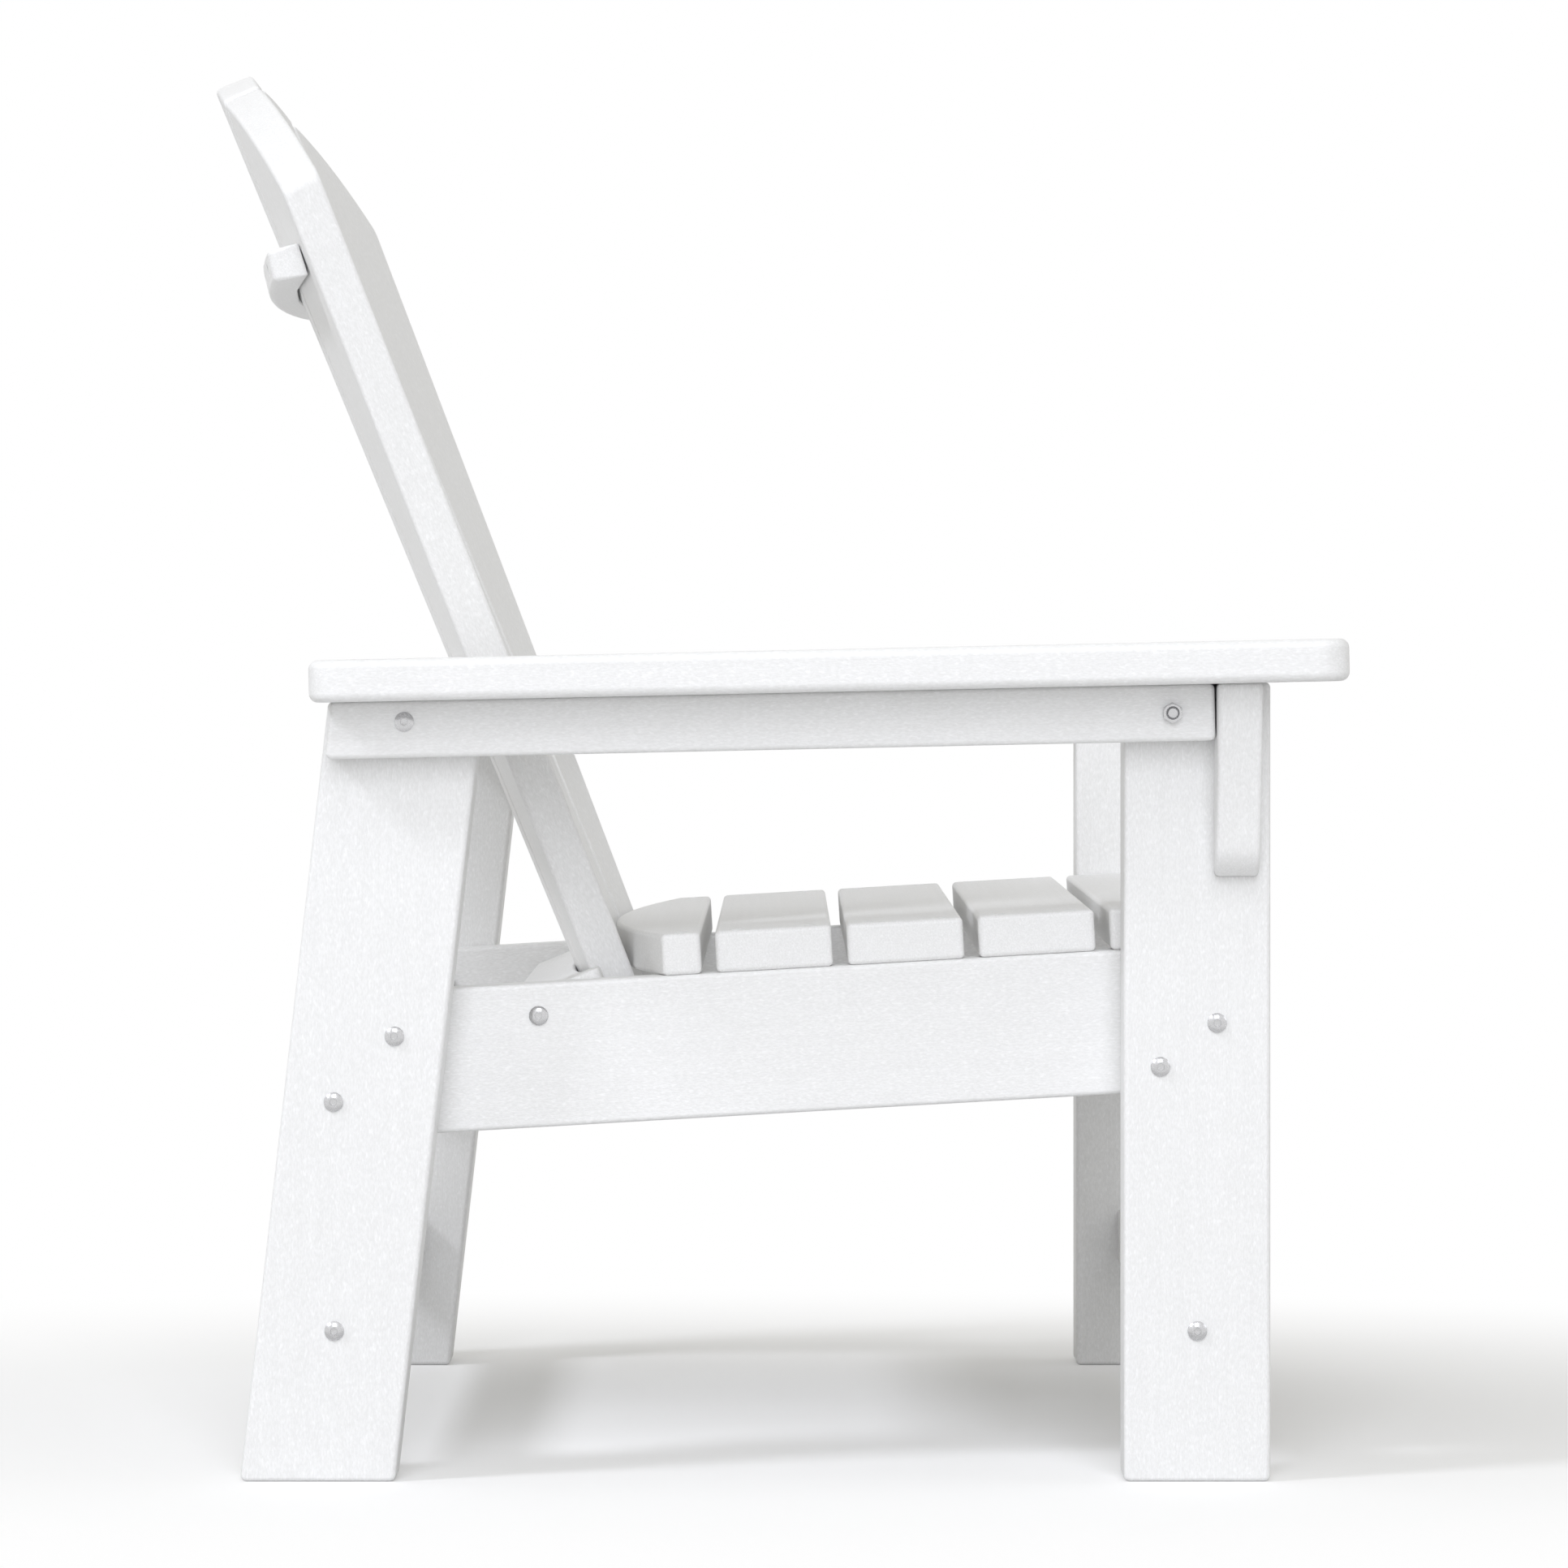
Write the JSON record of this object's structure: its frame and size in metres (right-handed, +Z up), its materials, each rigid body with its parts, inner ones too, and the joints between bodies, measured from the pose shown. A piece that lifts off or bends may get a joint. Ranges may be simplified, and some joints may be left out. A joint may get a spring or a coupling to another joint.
{
  "type": "adirondack chair",
  "caption": "Fixed adirondack chair of white plastic lumber: bolted legs and side rails, slatted sloping seat, fanned arched back, broad flat arms on brackets.",
  "frame": {"origin": "on the floor, under the middle of the chair's overall box", "axes": "+Z up, -Y the way the sitter faces, +X the sitter's left"},
  "size_m": [0.723, 0.7097, 0.8803],
  "materials": {
    "lumber": "satin white plastic lumber with a fine grain along each board",
    "steel": "stainless steel"
  },
  "bodies": {
    "root": {"left_front_leg": "lumber", "right_front_leg": "lumber", "left_rear_leg": "lumber", "right_rear_leg": "lumber", "left_seat_rail": "lumber", "right_seat_rail": "lumber", "front_stretcher": "lumber", "rear_stretcher": "lumber", "curved_seat_slat": "lumber", "rear_seat_slat": "lumber", "middle_seat_slat": "lumber", "front_seat_slat": "lumber", "nose_seat_slat": "lumber", "centre_back_slat": "lumber", "left_inner_back_slat": "lumber", "right_inner_back_slat": "lumber", "left_outer_back_slat": "lumber", "right_outer_back_slat": "lumber", "lower_back_brace": "lumber", "middle_back_brace": "lumber", "upper_back_brace": "lumber", "left_arm_rail": "lumber", "right_arm_rail": "lumber", "left_armrest": "lumber", "right_armrest": "lumber", "left_arm_bracket": "lumber", "right_arm_bracket": "lumber", "seat_rail_bolts": "steel", "seat_rail_nuts": "steel", "stretcher_bolts": "steel", "brace_bolts": "steel", "barrel_nuts": "steel", "arm_rail_bolts": "steel", "arm_rail_nuts": "steel", "seat_slat_screws": "steel", "back_slat_screws": "steel", "armrest_screws": "steel", "bracket_screws": "steel"}
  },
  "joints": []
}
